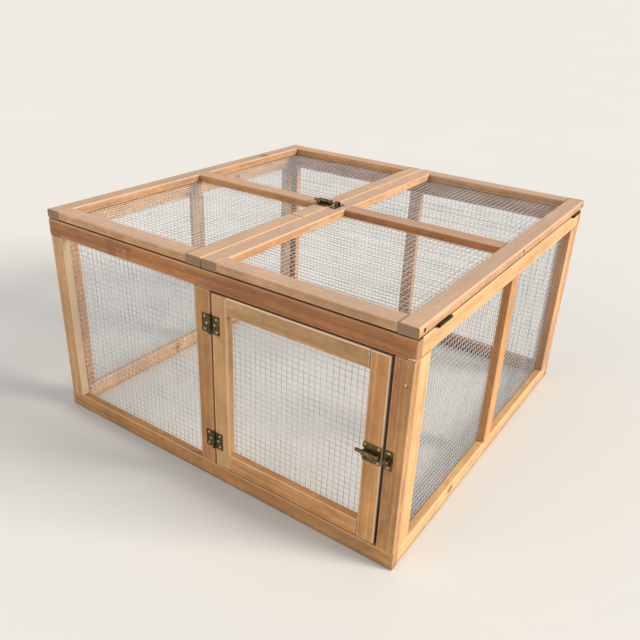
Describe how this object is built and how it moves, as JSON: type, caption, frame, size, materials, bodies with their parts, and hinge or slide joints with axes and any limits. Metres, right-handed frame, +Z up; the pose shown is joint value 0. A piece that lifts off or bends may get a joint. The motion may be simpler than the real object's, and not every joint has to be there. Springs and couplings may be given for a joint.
{
  "type": "chicken cage",
  "caption": "Floorless square run for chickens: timber frames with wire netting, a bolted front door on butt hinges and a roof of two netted lids that open to the sides.",
  "frame": {"origin": "on the ground under the middle of the run's outer box, hardware included", "axes": "+X runs along the front to the right as seen from the front, +Y from the front to the back, +Z up; the door is on the -Y face"},
  "size_m": [0.926, 0.926, 0.52],
  "materials": {
    "frame_timber": "planed softwood with an oil stain, weathered",
    "door_timber": "planed softwood with a paler oil stain, weathered",
    "roof_timber": "planed softwood with an oil stain, sun-bleached on top",
    "netting": "galvanised welded wire, dull",
    "hinges": "antique brass, dark olive brown",
    "bolts": "antique brass, dark olive brown",
    "screws": "brassed steel, worn bright"
  },
  "bodies": {
    "run": {"front_top_rail": "frame_timber", "front_bottom_rail": "frame_timber", "front_left_stile": "frame_timber", "front_middle_stile": "frame_timber", "front_right_stile": "frame_timber", "back_top_rail": "frame_timber", "back_bottom_rail": "frame_timber", "back_left_stile": "frame_timber", "back_middle_stile": "frame_timber", "back_right_stile": "frame_timber", "left_top_rail": "frame_timber", "left_bottom_rail": "frame_timber", "left_front_stile": "frame_timber", "left_middle_stile": "frame_timber", "left_back_stile": "frame_timber", "right_top_rail": "frame_timber", "right_bottom_rail": "frame_timber", "right_front_stile": "frame_timber", "right_middle_stile": "frame_timber", "right_back_stile": "frame_timber", "front_net": "netting", "back_net": "netting", "left_net": "netting", "right_net": "netting", "door_hinge_frame_leaves": "hinges", "door_hinge_pins": "hinges", "roof_hinge_frame_leaves": "hinges", "roof_hinge_pins": "hinges", "door_bolt_keeper": "bolts", "frame_screws": "screws"},
    "door": {"door_hinge_stile": "door_timber", "door_latch_stile": "door_timber", "door_top_rail": "door_timber", "door_bottom_rail": "door_timber", "door_net": "netting", "door_hinge_door_leaves": "hinges", "door_bolt_body": "bolts", "door_screws": "screws"},
    "roof_left": {"roof_left_outer_stile": "roof_timber", "roof_left_inner_stile": "roof_timber", "roof_left_front_rail": "roof_timber", "roof_left_middle_rail": "roof_timber", "roof_left_back_rail": "roof_timber", "roof_left_net": "netting", "roof_left_hinge_leaves": "hinges", "roof_left_rail_screws": "screws", "roof_left_screws": "screws", "roof_bolt_body": "bolts"},
    "roof_right": {"roof_right_outer_stile": "roof_timber", "roof_right_inner_stile": "roof_timber", "roof_right_front_rail": "roof_timber", "roof_right_middle_rail": "roof_timber", "roof_right_back_rail": "roof_timber", "roof_right_net": "netting", "roof_right_hinge_leaves": "hinges", "roof_right_rail_screws": "screws", "roof_right_screws": "screws", "roof_bolt_keeper": "bolts"},
    "door_bolt": {"door_bolt_rod": "bolts"},
    "roof_bolt": {"roof_bolt_rod": "bolts"}
  },
  "joints": [
    {"name": "door_hinge", "type": "hinge", "parent": "run", "child": "door", "pos_m": [0.021, -0.4542, 0.2425], "axis": [0, 0, -1], "range_deg": [0, 175]},
    {"name": "roof_left_hinge", "type": "hinge", "parent": "run", "child": "roof_left", "pos_m": [-0.46, 0, 0.4875], "axis": [0, -1, 0], "range_deg": [0, 190]},
    {"name": "roof_right_hinge", "type": "hinge", "parent": "run", "child": "roof_right", "pos_m": [0.46, 0, 0.4875], "axis": [0, 1, 0], "range_deg": [0, 190]},
    {"name": "door_bolt_slide", "type": "slide", "parent": "door", "child": "door_bolt", "axis": [1, 0, 0], "range_m": [0, 0.022]},
    {"name": "roof_bolt_slide", "type": "slide", "parent": "roof_left", "child": "roof_bolt", "axis": [1, 0, 0], "range_m": [0, 0.022]}
  ]
}
